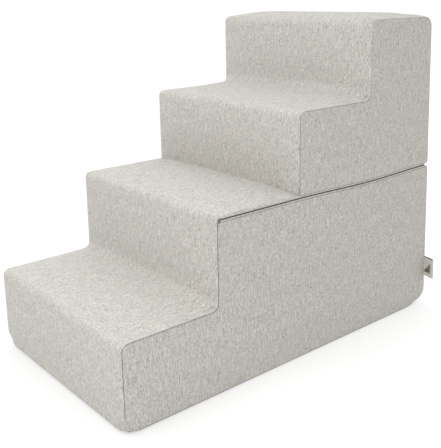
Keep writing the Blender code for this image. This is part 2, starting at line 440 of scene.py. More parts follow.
def seam_edge(here):
    """Inset, width and depth of the roll where a strip meets the side panels."""
    return [np.full(len(here), SEAM)] * 3


def lid_edge(here):
    """The same up to the zip, then the softer free edge of tread 2."""
    part = ease((here[:, 1] - SEAM_LOW) / (LID_TOP - SEAM_LOW))
    return [SEAM + (loose - SEAM) * part for loose in (0.0004, 0.0065, 0.0034)]


def strip_panel(name, half, corners, shares, rolls, inside, edge=seam_edge, rise=None):
    """A strip of cloth across the stair, along a side path; returns the piece and its length.

    shares is the crown held at each corner of the path, rolls the (width, depth) of the roll at
    the strip's two ends, and edge gives the roll at its side seams.  The third corner of a long
    strip is its inner corner.
    """
    path = side_path(corners)
    length = path[2][-1]
    places = [place_on(path, y, z) for y, z, _ in corners]
    rows = end_rows(length, rolls[0][0], rolls[1][0])
    here, out = along(path, rows)
    crown = CROWN * crown_along(rows, places, shares)
    if rise is not None:
        crown = crown + rise(here)
    drop = np.zeros(len(rows))
    for distance, (width, depth) in zip((rows, rows[-1] - rows), rolls):
        if width:
            part = np.clip(1 - distance / width, 0, 1)
            drop += depth * (1 - np.sqrt(1 - part * part))
    e, d = strip_columns(*edge(here))
    columns = e.shape[1]
    sign = np.where(np.arange(columns) < columns // 2, -1.0, 1.0)
    x = sign[None] * (HALF - e)
    base = np.stack([x, np.repeat(here[:, :1], columns, 1), np.repeat(here[:, 1:], columns, 1)], 2)
    flat = base.reshape(-1, 3)
    stretched = flat * (1.0, 0.25, 0.25)
    puff, ripple, pucker, gather = [values.reshape(x.shape) for values in (
        half["movement"](flat), wrinkle(flat, RIPPLE), wrinkle(flat, PUCKER), wrinkle(stretched, GATHER),
    )]
    creases = [place for place, share in zip(places, shares) if share == 0.0] + places[2:-1][:1]
    near = sum(np.exp(-np.abs(rows - place) / PUCKER_REACH) for place in creases)
    soft = pillow(e) ** 0.8
    offset = (crown[:, None] + puff + ripple) * soft - d - drop[:, None]
    offset += pucker * np.exp(-e / PUCKER_REACH) + gather * near[:, None] * np.minimum(e / 0.01, 1)
    if len(corners) > 2:
        forward, up = bridged(rows, places[2])
        base[:, :, 1] -= forward[:, None] * pillow(e, BRIDGE_REACH)
        base[:, :, 2] += up[:, None] * pillow(e, BRIDGE_REACH)
    base[:, :, 1] += out[:, :1] * offset
    base[:, :, 2] += out[:, 1:] * offset
    uvs = np.stack([x, np.repeat(rows[:, None], columns, 1)], 2).reshape(-1, 2)
    points = half["shape"](base.reshape(-1, 3))
    item = build(name, points, grid_faces(len(rows), columns), uvs)
    face_outward(item, inside)
    thicken(item)
    return item, length


def polygon_offset(loop, distance):
    """A closed outline moved inward, to its right-hand side, mitred at its points."""
    arrive, leave = units(loop - np.roll(loop, 1, 0)), units(np.roll(loop, -1, 0) - loop)
    right_in, right_out = [np.stack([run[:, 1], -run[:, 0]], 1) for run in (arrive, leave)]
    middle = units(right_in + right_out)
    return loop + middle * (distance / np.einsum("ij,ij->i", middle, right_in))[:, None]


def closed_outline(corners, spacing=STEP):
    """A closed outline with rounded corners, running with its inside on its right."""
    middle = ((corners[0][0] + corners[-1][0]) / 2, (corners[0][1] + corners[-1][1]) / 2, 0)
    path, _, _ = side_path([middle] + corners + [middle], spacing)
    return path[:-1]


def inside_polygon(points, loop):
    y, z = points[:, 0], points[:, 1]
    result = np.zeros(len(points), bool)
    after = np.roll(loop, -1, 0)
    for (y0, z0), (y1, z1) in zip(loop, after):
        crosses = (z0 > z) != (z1 > z)
        with np.errstate(divide="ignore", invalid="ignore"):
            at = y0 + (z - z0) * (y1 - y0) / (z1 - z0)
        result ^= crosses & (y < at)
    return result


def distance_to(points, loop):
    """Distance from each point to a closed outline."""
    best = np.full(len(points), 9.0)
    for start, end in zip(loop, np.roll(loop, -1, 0)):
        run = end - start
        part = np.clip(((points - start) @ run) / (run @ run), 0, 1)
        best = np.minimum(best, np.linalg.norm(points - start - part[:, None] * run, axis=1))
    return best


FIELD = 0.006             # spacing of a side panel's field


def side_cloth(name, half, corners, side, on_floor):
    """A side panel: rings that follow its seam, and a triangulated field inside them."""
    outline = closed_outline(corners)
    seam = polygon_offset(outline, SEAM)
    count = len(seam)
    sewn = np.ones(count)
    if on_floor:
        seam[:, 1] = np.where(outline[:, 1] < 0.5 * SEAM, 0.0, seam[:, 1])
        sewn = ease(outline[:, 1] / 0.008)
    insets = list(SEAM * (1 - np.cos(ROLL))) + [0.0021, 0.0030, 0.0039]
    depths = list(SEAM * (1 - np.sin(ROLL))) + [0.0, 0.0, 0.0]
    rings = [polygon_offset(seam, inset) if inset > 0 else seam for inset in insets]
    last = rings[-1]
    spans = [np.arange(low, high, FIELD) for low, high in zip(last.min(0), last.max(0))]
    grid = np.stack(np.meshgrid(*spans, indexing="ij"), 2).reshape(-1, 2)
    grid = grid[inside_polygon(grid, last)]
    grid = grid[distance_to(grid, last) > 0.0028]
    flat = [Vector(p) for p in last] + [Vector(p) for p in grid]
    border = [(i, (i + 1) % count) for i in range(count)]
    _, _, triangles, origin, _, _ = geometry.delaunay_2d_cdt(flat, border, [], 1, 1e-6)
    plane = np.concatenate(rings + [grid])
    depth = np.concatenate([np.full(count, d) * sewn for d in depths] + [np.zeros(len(grid))])
    offset = (len(rings) - 1) * count
    cells = offset + np.array([[origin[v][0] for v in triangle] for triangle in triangles])
    cells = cells[inside_polygon(plane[cells].mean(1), last)]
    faces = grid_faces(len(rings), count, close_columns=True) + cells.tolist()
    reach = distance_to(plane, seam)
    base = np.stack([np.full(len(plane), side * HALF), plane[:, 0], plane[:, 1]], 1)
    soft = pillow(reach, SIDE_REACH)
    ripple = wrinkle(base, SIDE_RIPPLE, side) * soft
    pucker = wrinkle(base, SIDE_PUCKER, side) * np.exp(-reach / SIDE_PUCKER_REACH)
    base[:, 0] += side * ((1.1 * CROWN + half["movement"](base)) * soft + ripple + pucker - depth)
    item = build(name, half["shape"](base), faces, plane)
    face_outward(item, (0.0, plane[:, 0].mean(), plane[:, 1].mean()))
    thicken(item)
    return item


# ---------------------------------------------------------------- bands round three sides
def u_path(inset, start_y, corner, spacing):
    """Plan points and outward normals from the right side round the back to the left."""
    side = HALF - inset
    back = BACK - inset
    straight = np.arange(start_y, back - corner, spacing)
    points = [(side, y, 1.0, 0.0) for y in straight]
    turns = max(4, int(round(corner * math.pi / 2 / spacing)))
    for angle in np.linspace(0, math.pi / 2, turns + 1):
        c, s = math.cos(angle), math.sin(angle)
        points.append((side - corner + corner * c, back - corner + corner * s, c, s))
    across = np.linspace(side - corner, -(side - corner), int(2 * side / spacing))[1:-1]
    points += [(x, back, 0.0, 1.0) for x in across]
    mirrored = [(-x, y, -nx, ny) for x, y, nx, ny in points[: len(straight) + turns + 1]]
    return np.array(points + mirrored[::-1])


def band(name, plan, profile, grow=None):
    """Sweep a closed profile of (outward, up) points round a plan path; grow reshapes it."""
    points, uvs = [], []
    length = lengths(plan[:, :2])
    for index, (x, y, nx, ny) in enumerate(plan):
        section = profile if grow is None else grow(index, profile)
        points += [(x + nx * out, y + ny * out, ZIP_Z + up) for out, up in section]
        uvs += [(length[index], out + up) for out, up in section]
    item = build(name, pinch(np.array(points)), solid_faces(len(plan), len(profile)), uvs)
    outward(item)
    item.data.set_sharp_from_angle(angle=math.radians(50))
    return item


def soft_box(inner, outer, low, high, corner=0.0005, bulge=0.0003):
    """Profile of a folded edge of cloth: a thin box with round corners and a bulging face."""
    points = []
    for cx, cz, start in ((outer, low, -90), (outer, high, 0), (inner, high, 90), (inner, low, 180)):
        mx = cx - corner if cx == outer else cx + corner
        mz = cz + corner if cz == low else cz - corner
        for angle in (0, 30, 60, 90):
            a = math.radians(start + angle)
            points.append((mx + corner * math.cos(a), mz + corner * math.sin(a)))
        if cx == outer and cz == low:
            points.append((outer + bulge, (low + high) / 2))
    return points


# ---------------------------------------------------------------- materials
class Shading:
    """The shader nodes of a material or of the world, with short ways to add and join them."""

    def __init__(self, owner, output="Principled BSDF"):
        owner.use_nodes = True
        self.owner = owner
        self.nodes = owner.node_tree.nodes
        self.output = self.nodes[output]

    def fill(self, node, inputs):
        """Give each input a socket to follow or a plain value."""
        for name, value in inputs.items():
            if isinstance(value, bpy.types.NodeSocket):
                self.owner.node_tree.links.new(value, node.inputs[name])
            else:
                node.inputs[name].default_value = value

    def node(self, kind, output, inputs=None, **settings):
        node = self.nodes.new("ShaderNode" + kind)
        for name, value in settings.items():
            setattr(node, name, value)
        self.fill(node, inputs or {})
        return node.outputs[output]

    def cloth(self, across=1.0, down=1.0):
        """The cloth's own coordinates in metres, stretched by a scale."""
        flat = self.node("UVMap", "UV", uv_map="cloth")
        return self.node("Mapping", "Vector", {"Vector": flat, "Scale": (across, down, 1)})

    def solid(self, *scale):
        """The object's own coordinates in metres, for pieces cut from a solid."""
        where = self.node("TexCoord", "Object")
        return self.node("Mapping", "Vector", {"Vector": where, "Scale": scale or (1, 1, 1)})

    def noise(self, vector, detail, rough=0.5, scale=1.0):
        inputs = {"Vector": vector, "Scale": scale, "Detail": detail, "Roughness": rough}
        return self.node("TexNoise", "Fac", inputs)

    def cells(self, vector, scale, randomness=1.0):
        inputs = {"Vector": vector, "Scale": scale, "Randomness": randomness}
        return self.node("TexVoronoi", "Distance", inputs)

    def threads(self, direction, period, wobble):
        """Rows of threads across one direction of the cloth, a period in metres apart."""
        scale = 2 * math.pi / (20 * period)
        inputs = {"Vector": self.cloth(), "Scale": scale, "Distortion": wobble, "Detail": 1.0}
        return self.node("TexWave", "Fac", inputs, bands_direction=direction)

    def sums(self, *terms):
        """A half plus each (socket, weight), with every socket centred on a half."""
        total = 0.5 - sum(weight for _, weight in terms) / 2
        for socket, weight in terms:
            total = self.node("Math", "Value", {0: socket, 1: weight, 2: total}, operation="MULTIPLY_ADD")
        return total

    def ramp(self, value, *stops):
        """A colour that runs through stops of (value, colour)."""
        node = self.nodes.new("ShaderNodeValToRGB")
        elements = node.color_ramp.elements
        for element, (position, colour) in zip(elements, (stops[0], stops[-1])):
            element.position = position
            element.color = (*colour, 1)
        for position, colour in stops[1:-1]:
            elements.new(position).color = (*colour, 1)
        self.fill(node, {"Fac": value})
        return node.outputs["Color"]

    def tint(self, tone, colour, low, high):
        """The colour, from low times to high times as bright."""
        return self.ramp(tone, (0, shaded(colour, low)), (1, shaded(colour, high)))

    def surface(self, colour, rough, height, relief, **more):
        """The finished material: its colour, roughness and relief in metres, and more inputs by name."""
        normal = self.node("Bump", "Normal", {"Height": height, "Distance": relief, "Strength": 1.0})
        named = {name.replace("_", " "): value for name, value in more.items()}
        self.fill(self.output, {"Base Color": colour, "Roughness": rough, "Normal": normal, **named})
        return self.owner


def shaded(colour, amount):
    return tuple(channel * amount for channel in colour)


def new_shading(name):
    return Shading(bpy.data.materials.new(name))


YARN = 0.0011             # spacing of the cover's threads
SEWING = 0.0006           # and of a twisted thread's own strands


def woven(name, colour, contrast, slub=(600, 190)):
    """Plain-woven yarn-dyed cloth: two sets of threads, slubs along one of them, and a heather."""
    shade = new_shading(name)
    across, down = slub
    warp = shade.threads("X", YARN, 0.6)
    weft = shade.threads("Y", YARN * 1.12, 0.6)
    slubs = shade.noise(shade.cloth(across, down), 3, 0.6)
    picks = shade.noise(shade.cloth(down * 1.1, across * 1.2), 2)
    heather = shade.noise(shade.cloth(900, 620), 1)
    patches = shade.noise(shade.cloth(150, 55), 3, 0.6)
    streaks = shade.noise(shade.cloth(across * 1.3, down * 0.22), 2)
    tone = shade.sums(
        (slubs, 1.35), (streaks, 0.85), (picks, 0.3), (heather, 0.8), (patches, 0.35),
        (warp, 0.10), (weft, 0.10),
    )
    dark, pale = shaded(colour, 1 - contrast), shaded(colour, 1 + contrast * 0.8)
    height = shade.sums((slubs, 1.3), (picks, 0.7), (warp, 0.55), (weft, 0.55), (heather, 0.3))
    return shade.surface(
        shade.ramp(tone, (0.0, dark), (0.5, colour), (1.0, pale)), 0.92, height, 0.00022,
        Specular_IOR_Level=0.25, Sheen_Weight=0.06, Sheen_Roughness=0.45,
    )


def porous(name, colour):
    """Open-cell foam: rounded cells of two sizes and a random cloudy tone, paler where the cell walls
    stand out and darker where the relief sinks, which is painted shade in the hollows.
    """
    shade = new_shading(name)
    where = shade.solid()
    large, small = [shade.cells(where, scale) for scale in (520, 1400)]
    clouds = shade.noise(where, 3, scale=9)
    # Random cloudy tone, plus painted shade: darker where the cells' relief sinks.
    tone = shade.sums((large, 0.5), (small, 0.3), (clouds, 0.5))
    depth = shade.sums((large, -0.9), (small, -0.6))
    return shade.surface(
        shade.tint(tone, colour, 1.05, 0.80), 0.95, depth, 0.0006,
        Specular_IOR_Level=0.2, Subsurface_Weight=0.08, Subsurface_Radius=(0.004, 0.003, 0.002),
    )


def felted(name, colour):
    """Thin non-woven lining: pressed fibres with a grid of little bonded points."""
    shade = new_shading(name)
    fibres = shade.noise(shade.solid(900, 160, 400), 4, 0.7)
    crossed = shade.noise(shade.solid(170, 950, 400), 4, 0.7)
    tone = shade.sums((fibres, 0.7), (crossed, 0.7), (shade.cells(shade.solid(), 330, 0.0), 0.4))
    return shade.surface(shade.tint(tone, colour, 0.86, 1.08), 0.88, tone, 0.0003, Sheen_Weight=0.1)


def moulded(name, colour, rough, metal=0.0, relief=0.0001):
    """Plastic, rubber or cast metal with a fine moulded grain and rubbed patches."""
    shade = new_shading(name)
    where = shade.solid()
    grain = shade.noise(where, 3, 0.6, 2080)
    rubbed = shade.noise(where, 3, 0.55, 260)
    tone = shade.sums((grain, 0.5), (rubbed, 0.9))
    polish = shade.ramp(rubbed, (0.3, (rough - 0.08,) * 3), (0.7, (rough + 0.10,) * 3))
    return shade.surface(shade.tint(tone, colour, 0.88, 1.12), polish, tone, relief, Metallic=metal)


def ribbed(name, colour, period=SEWING, contrast=0.2, rough=0.7, direction="X"):
    """Narrow woven tape, ribbon or twisted thread: one strong rib along its length."""
    shade = new_shading(name)
    ribs = shade.threads(direction, period, 0.3)
    cross = shade.threads("Y" if direction == "X" else "X", period * 0.6, 0.3)
    fuzz = shade.noise(shade.cloth(700, 700), 3, 0.6)
    tone = shade.sums((ribs, 0.7), (cross, 0.25), (fuzz, 0.6))
    tint = shade.tint(tone, colour, 1 - contrast, 1 + contrast)
    return shade.surface(tint, rough, tone, 0.0002, Sheen_Weight=0.15)


LINEN_COLOUR = (0.525, 0.504, 0.472)
LINEN = woven("linen_cloth", LINEN_COLOUR, 0.58)
LIP_LINEN = woven("linen_lip", LINEN_COLOUR, 0.50, slub=(215, 600))
FOAM = porous("open_cell_foam", (0.62, 0.585, 0.49))
GRIP_CLOTH = woven("grip_cloth", (0.105, 0.105, 0.110), 0.30)
GRIP_DOTS = moulded("grip_dots", (0.030, 0.030, 0.033), 0.55)
LINER = felted("non_woven_liner", (0.56, 0.55, 0.53))
ZIP_TAPE = ribbed("zip_tape", (0.075, 0.070, 0.063), 0.0011)
ZIP_COIL = moulded("zip_coil", (0.055, 0.051, 0.046), 0.42)
THREAD = ribbed("thread", (0.20, 0.19, 0.17), rough=0.6)
# Painted light and shade: one seam thread in three brightnesses, darkest on the lower seams and palest
# along the top edges; its dark lines also paint the shade in the sunken seams and at the floor.
SEAM_THREAD_DEEP_SHADE = ribbed("seam_thread_painted_deep_shade", (0.13, 0.122, 0.110), rough=0.6)
SEAM_THREAD_HALF_SHADE = ribbed("seam_thread_painted_half_shade", (0.23, 0.22, 0.20), rough=0.6)
SEAM_THREAD_LIT = ribbed("seam_thread_painted_lit", (0.42, 0.40, 0.37), rough=0.6)
METAL = moulded("satin_zinc", (0.42, 0.41, 0.39), 0.34, 1.0, 0.00003)
RIBBON = ribbed("label_ribbon", (0.70, 0.66, 0.60), contrast=0.10, direction="Y")
# The inner faces of the folded label: near-black, both the reverse's dark threads and painted shade
# between the plies.
RIBBON_REVERSE_AND_SHADE = ribbed("label_reverse_painted_shade", (0.022, 0.020, 0.018))
RIBBON_MARK = ribbed("label_stitching", (0.028, 0.025, 0.021))


# ---------------------------------------------------------------- outlines and the two halves
SEAM_LOW, SEAM_HIGH = ZIP_Z - LIP_FAR, ZIP_Z + LIP_FAR
BACK_SEAM = TOP - TOP_BACK_R - 0.004
LID_DIP = 0.0024          # tread 2 sinks this much where it meets riser 3
LOWER_STEPS = [(FRONT, 0.0, 0), (FRONT, RISE, NOSING_R), (STEP_Y[1], RISE, INNER_R)]
UPPER_STEPS = [
    (STEP_Y[2], 3 * RISE, NOSING_R), (STEP_Y[3], 3 * RISE, INNER_R),
    (STEP_Y[3], TOP, NOSING_R), (BACK, TOP, TOP_BACK_R),
]
LOWER_BACK = [(BACK, SEAM_LOW, 0), (BACK, 0.0, 0)]
UPPER_BACK = [(BACK, BACK_SEAM, 0), (BACK, SEAM_HIGH, 0)]
LOWER_SIDE = LOWER_STEPS + [(STEP_Y[1], SEAM_LOW, 0)] + LOWER_BACK
UPPER_SIDE = [(STEP_Y[2], SEAM_HIGH, 0)] + UPPER_STEPS + UPPER_BACK[1:]
FRONT_STRIP = LOWER_STEPS + [(STEP_Y[1], LID_TOP, LID_R), (STEP_Y[2] + 0.0020, LID_TOP, 0)]
UPPER_STRIP = [(STEP_Y[2], LID_TOP - LID_DIP, 0)] + UPPER_STEPS + UPPER_BACK[:1]


def movement_of(name, side):
    return simulate_block(name, closed_outline(side, VOXEL))


LOWER = {
    "body": "tub", "foam": "lower_foam_block", "shape": tub_shape,
    "movement": movement_of("lower_cover_shell", LOWER_SIDE),
}
UPPER = {
    "body": "cap", "foam": "upper_foam_block", "shape": pinch,
    "movement": movement_of("upper_cover_shell", UPPER_SIDE),
}
SIDES = (("left", -1), ("right", 1))


# ---------------------------------------------------------------- the sewn cover
def lid_dip(here):
    """Tread 2 swells a little, and sinks where it meets riser 3 behind a small ridge."""
    end = STEP_Y[2] - here[:, 0]
    swell = 0.0012 * ease((here[:, 0] - STEP_Y[1]) / 0.02)
    ridge = 0.0008 * np.exp(-(((end - 0.010) / 0.005) ** 2))
    return np.where(here[:, 1] > ZIP_Z, swell - LID_DIP * (1 - ease(end / 0.007)) + ridge, 0.0)


def riser_foot(here):
    """Riser 3 spreads a little where it stands on tread 2."""
    flare = FOOT_FLARE * np.exp(-(here[:, 1] - LID_TOP) / FOOT_TALL)
    return np.where(here[:, 0] < STEP_Y[2] + 0.001, flare, 0.0)


def make_cover():
    plain, rolled = (0, 0), (SEAM, SEAM)
    item, length = strip_panel(
        "front_step_cloth", LOWER, FRONT_STRIP, (0.1, 0.35, 1.0, 0.25, 0.0), (plain, plain),
        (0, 0.1, 0.0), lid_edge, lid_dip,
    )
    finish_piece(item, LINEN, None, ["lower_step_strip", "tread_2_panel"])
    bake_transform(item)

    for name, node, half, corners, shares, rolls, inside, rise in (
        ("upper_step_cloth", "upper_step_strip", UPPER, UPPER_STRIP, (1.0, 0.35, 1.0, 0.35, 0.2, 0.0),
         ((0.005, 0.0026), rolled), (0, BACK, SEAM_HIGH), riser_foot),
        ("upper_back_cloth", "upper_back_panel", UPPER, UPPER_BACK, (0.0, 0.0),
         (rolled, rolled), (0, 0, TOP), None),
        ("lower_back_cloth", "lower_back_panel", LOWER, LOWER_BACK, (0.0, 0.1),
         (rolled, plain), (0, 0, RISE), None),
    ):
        item, length = strip_panel(name, half, corners, shares, rolls, inside, rise=rise)
        finish_piece(item, LINEN, half["body"], [node])

    for name, side in SIDES:
        for level, half, outline, length, height in (
            ("lower", LOWER, LOWER_SIDE, BACK - FRONT, SEAM_LOW),
            ("upper", UPPER, UPPER_SIDE, BACK - STEP_Y[2], TOP - SEAM_HIGH),
        ):
            item = side_cloth(f"{level}_{name}_cloth", half, outline, side, half is LOWER)
            finish_piece(item, LINEN, half["body"], [f"{level}_{name}_side"])


# Each seam line is a dark thread tube that also paints the shade in the sunken seam.
SEAM_LINE = 0.00045       # the sunken seam shows as a line this thick
SEAM_SUNK = 0.75 * SEAM
FOOT_SEAM = 0.0013


def seam_run(path, start, end, side, half):
    """The thread line in the corner seam of one side, between two places along a path, drawn dark as
    thread and as painted shade in the sunken seam.
    """
    here, out = along(path, np.arange(start, end, 0.004))
    y, z = (here - out * SEAM_SUNK).T
    points = np.stack([np.full(len(y), side * (HALF - SEAM_SUNK)), y, z], 1)
    return half["shape"](points), SEAM_LINE


def make_seams():
    front, upper, back = [side_path(corners) for corners in (LOWER_SIDE[:4], UPPER_SIDE, LOWER_BACK)]
    turn = place_on(upper, STEP_Y[3], 3 * RISE)
    for name, side in SIDES:
        item = join_tubes(f"lower_{name}_seam", [
            seam_run(front, 0.030, front[2][-1], side, LOWER),
            seam_run(back, 0.0, back[2][-1] - 0.004, side, LOWER),
        ])
        finish_piece(item, SEAM_THREAD_DEEP_SHADE, "tub", [])
        # Painted light and shade: the upper seams get the half-shaded thread and the top edges the lit
        # one, paler than the lower seams' deep-shade thread.
        parts = (("upper", 0.0, turn, SEAM_THREAD_HALF_SHADE), ("top", turn, upper[2][-1], SEAM_THREAD_LIT))
        for part, start, end, thread in parts:
            item = join_tubes(f"{part}_{name}_seam", [seam_run(upper, start, end, side, UPPER)])
            finish_piece(item, thread, "cap", [])


def make_base_seam():
    """The line all round the foot of the cover, where its walls are sewn to the grip cloth, drawn dark as
    thread and as painted shade in the gap where the cover meets the floor.
    """
    corners = [(-HALF, FRONT), (HALF, FRONT), (HALF, BACK), (-HALF, BACK), (-HALF, FRONT)]
    runs = []
    for start, end in zip(corners, corners[1:]):
        points = np.linspace((*start, FOOT_SEAM), (*end, FOOT_SEAM), 90)
        runs.append((tub_shape(points), FOOT_SEAM * 0.55))
    finish_piece(join_tubes("base_seam", runs), SEAM_THREAD_DEEP_SHADE, "tub", [])


# ---------------------------------------------------------------- zip
ZIP_FRONT = STEP_Y[1] + 0.0020
LIP_FACE = 0.0003
LIP_UNDER = 0.0004        # the lip runs this far under the panel it is sewn to
TAPE_FACE = 0.0024
TAPE_START = 0.004        # the tapes begin this far behind the front ends of the lips
TAPE_THICK = 0.0007
LIP_CORNER_R, TAPE_CORNER_R = 0.008, 0.007
TAPE_NEAR = 0.0017        # the coil holds the tape this far from the zip line
ZIP_STEP = 0.004          # spacing of the lips and tapes round the stair
COIL_PITCH = 0.0016
COIL_OUT = -0.0006        # middle of the coil, outward from the tape's face
COIL_UP = 0.00085         # and from the zip line


def make_zip():
    plan = u_path(LIP_FACE, ZIP_FRONT, LIP_CORNER_R, ZIP_STEP)
    inner = u_path(TAPE_FACE, ZIP_FRONT + TAPE_START, TAPE_CORNER_R, ZIP_STEP)
    for part, body, sign, far in (("lower", "tub", -1, -0.0118), ("upper", "cap", 1, 0.0042)):
        low, high = sorted((sign * LIP_NEAR, sign * (LIP_FAR + LIP_UNDER)))
        lip = band(f"{part}_zip_lip", plan, soft_box(-LIP_THICK, 0.0, low, high))
        finish_piece(lip, LIP_LINEN, body, [f"{part}_zip_flap"])
        low, high = sorted((sign * TAPE_NEAR, far))
        tape = band(f"{part}_zip_tape_web", inner, soft_box(-TAPE_THICK, 0.0, low, high, 0.0002, 0.0))
        finish_piece(tape, ZIP_TAPE, body, [f"{part}_zip_tape"])
        coil = coil_row(f"{part}_zip_coil_row", sign)
        finish_piece(coil, ZIP_COIL, body, [f"{part}_zip_coil"])


def coil_row(name, sign):
    """Nylon coil: turns that lean one way on each tape, so that the two rows mesh."""
    plan = u_path(TAPE_FACE - 0.0002, ZIP_FRONT + TAPE_START, TAPE_CORNER_R, COIL_PITCH / 4)
    middle = sign * COIL_UP
    round_turn = [(0.00045 * math.cos(a), 0.00060 * math.sin(a)) for a in circle(8)]

    def turn(index, profile):
        size = 0.72 + 0.28 * math.cos(index * math.pi / 2 + (0 if sign > 0 else math.pi))
        return [(COIL_OUT + out * size, middle + up * size) for out, up in profile]

    return band(name, plan, round_turn, turn)


def circle(sides):
    return [2 * math.pi * k / sides for k in range(sides)]


def tube(points, radius, sides=6):
    """Vertices, faces and uvs of a closed tube through a list of points."""
    points = [Vector(p) for p in points]
    vertices, uvs = [], []
    run = 0.0
    for index, here in enumerate(points):
        before, after = points[max(index - 1, 0)], points[min(index + 1, len(points) - 1)]
        tangent = (after - before).normalized()
        aside = Vector((1, 0, 0)) if abs(tangent.x) < 0.8 else Vector((0, 1, 0))
        across = tangent.cross(aside).normalized()
        up = tangent.cross(across)
        run += (here - before).length
        for k, angle in enumerate(circle(sides)):
            vertices.append(here + (across * math.cos(angle) + up * math.sin(angle)) * radius)
            uvs.append((run, k * radius))
    return vertices, solid_faces(len(points), sides), uvs


def join_solids(name, solids):
    """One piece made of closed solids, each with its vertices, faces and uvs."""
    vertices, faces, uvs = [], [], []
    for some, cells, flat in solids:
        faces += [tuple(i + len(vertices) for i in cell) for cell in cells]
        vertices += some
        uvs += flat
    item = build(name, vertices, faces, uvs or None)
    outward(item)
    return item


def join_tubes(name, runs):
    return join_solids(name, [tube(points, radius) for points, radius in runs])


def make_tacks():
    """Dense upright stitches that close each end of the zip, over three lines of thread."""
    for name, side in SIDES:
        runs = []
        for index in range(7):
            y = ZIP_FRONT + 0.0004 + 0.00062 * index
            lean = 0.0003 * math.sin(2.4 * index)
            rows = []
            for part in np.linspace(0, 1, 11):
                z = ZIP_Z - 0.0056 + lean + 0.0080 * part
                out = HALF - valley(z, VALLEY) - 0.0006 + 0.0005 * math.sin(math.pi * part) ** 0.4
                rows.append((side * out, y, z))
            runs.append((rows, 0.00036))
        for z in (ZIP_Z - 0.004, ZIP_Z - 0.0015, ZIP_Z + 0.001):
            out = HALF - valley(z, VALLEY) + 0.0001
            runs.append(([(side * out, ZIP_FRONT - 0.0003 + 0.0010 * k, z) for k in range(6)], 0.00030))
        item = join_tubes(f"bar_tack_{name}", runs)
        finish_piece(item, THREAD, "tub", [f"zip_end_tack_{name}"])


# ---------------------------------------------------------------- foam, liner and base
def block(name, corners, inset):
    """A foam block: a side outline across the stair, with rounded edges and soft faces."""
    outline = closed_outline(corners, 0.008)
    half, edge = HALF - inset, 0.004
    rings = []
    for angle in np.radians([0, 22, 45, 67, 90]):
        ring = polygon_offset(outline, inset + edge * (1 - math.sin(angle)))
        rings.append((ring, half - edge * (1 - math.cos(angle))))
    columns = [(ring, -x) for ring, x in rings]
    columns += [(rings[-1][0], x) for x in np.linspace(-(half - edge), half - edge, 44)[1:-1]]
    columns += [(ring, x) for ring, x in reversed(rings)]
    points = np.array([(x, y, z) for ring, x in columns for y, z in ring])
    points[:, 2] += wrinkle(points, FOAM_WAVES)
    item = build(name, points, solid_faces(len(columns), len(outline)))
    outward(item)
    return item


def make_foam():
    bottom = LID_TOP - 0.0042
    lower = [
        (FRONT, 0.0, FOAM_R), (FRONT, RISE, FOAM_R), (STEP_Y[1], RISE, INNER_R),
        (STEP_Y[1], LID_TOP, FOAM_R), (BACK, LID_TOP, FOAM_R), (BACK, 0.0, FOAM_REAR_R),
    ]
    upper = [
        (STEP_Y[2], bottom, FOAM_R), (STEP_Y[2], 3 * RISE, FOAM_R), (STEP_Y[3], 3 * RISE, INNER_R),
        (STEP_Y[3], TOP, FOAM_R), (BACK, TOP, FOAM_R), (BACK, bottom, FOAM_R),
    ]
    for half, level, corners, inset in ((LOWER, "lower", lower, 0.0070), (UPPER, "upper", upper, 0.0066)):
        item = block(half["foam"], corners, inset)
        finish_piece(item, FOAM, half["body"], [f"{level}_foam"])


def level_cloth(name, low, high, counts, start, lift, fullness, slack, spread, thickness):
    """A level sheet inside two corners, fuller and a little slack in its middle."""
    xs = np.linspace(low[0], high[0], counts[0])
    ys = np.linspace(low[1] + start, high[1], counts[1])
    flat = np.array([(x, y, low[2]) for y in ys for x in xs])
    to_edge = np.minimum(flat[:, :2] - low[:2], high[:2] - flat[:, :2]).min(1)
    flat[:, 2] += lift + (fullness + wrinkle(flat, slack)) * pillow(to_edge, spread)
    item = build(name, flat, grid_faces(len(ys), len(xs)), flat[:, :2])
    face_outward(item, (0, 0.2, 1.0))
    thicken(item, thickness)
    return item


def make_liner():
    """The lining sewn across the underside of the upper block, a little slack."""
    low, high = [np.array(corner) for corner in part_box("upper_inner_base")]
    item = level_cloth("upper_liner", low, high, (72, 64), 0.001, 0.0004, 0.0, LINER_SLACK, 0.03, 0.0009)
    finish_piece(item, LINER, "cap", ["upper_inner_base"])


DOT_PITCH = 0.0125
DOT_R = 0.0021
DOT_RINGS = ((1.0, 0.0018), (0.94, 0.0009), (0.62, 0.0003))   # share of its radius, and height
DOT_SIDES = 10
DOT_MARGIN = 0.012


def make_base():
    """The grip cloth under the stair, with its rubber dots."""
    box_low, box_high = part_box("nonslip_base")
    side = HALF - TUCK["side"] + 0.001
    low, high = np.array((-side, box_low.y + 0.001, 0.0)), np.array((side, box_high.y - 0.006, 0.0))
    item = level_cloth("base_cloth", low, high, (60, 96), 0.0, 0.0011, 0.0007, BASE_SLACK, 0.02, 0.0010)
    finish_piece(item, GRIP_CLOTH, "tub", ["nonslip_base"])
    wide, long, _ = high - low
    dots = []
    row_pitch = DOT_PITCH * 0.866
    for row in range(int((long - 0.02) / row_pitch)):
        y = low[1] + DOT_MARGIN + row * row_pitch
        for column in range(int((wide - 2 * DOT_MARGIN) / DOT_PITCH)):
            x = low[0] + DOT_MARGIN + (column + 0.5 * (row % 2)) * DOT_PITCH
            points = [(x + DOT_R * share * math.cos(angle), y + DOT_R * share * math.sin(angle), z)
                      for share, z in DOT_RINGS for angle in circle(DOT_SIDES)]
            dots.append((points, solid_faces(len(DOT_RINGS), DOT_SIDES), []))
    finish_piece(join_solids("base_grip_dots", dots), GRIP_DOTS, "tub", [])


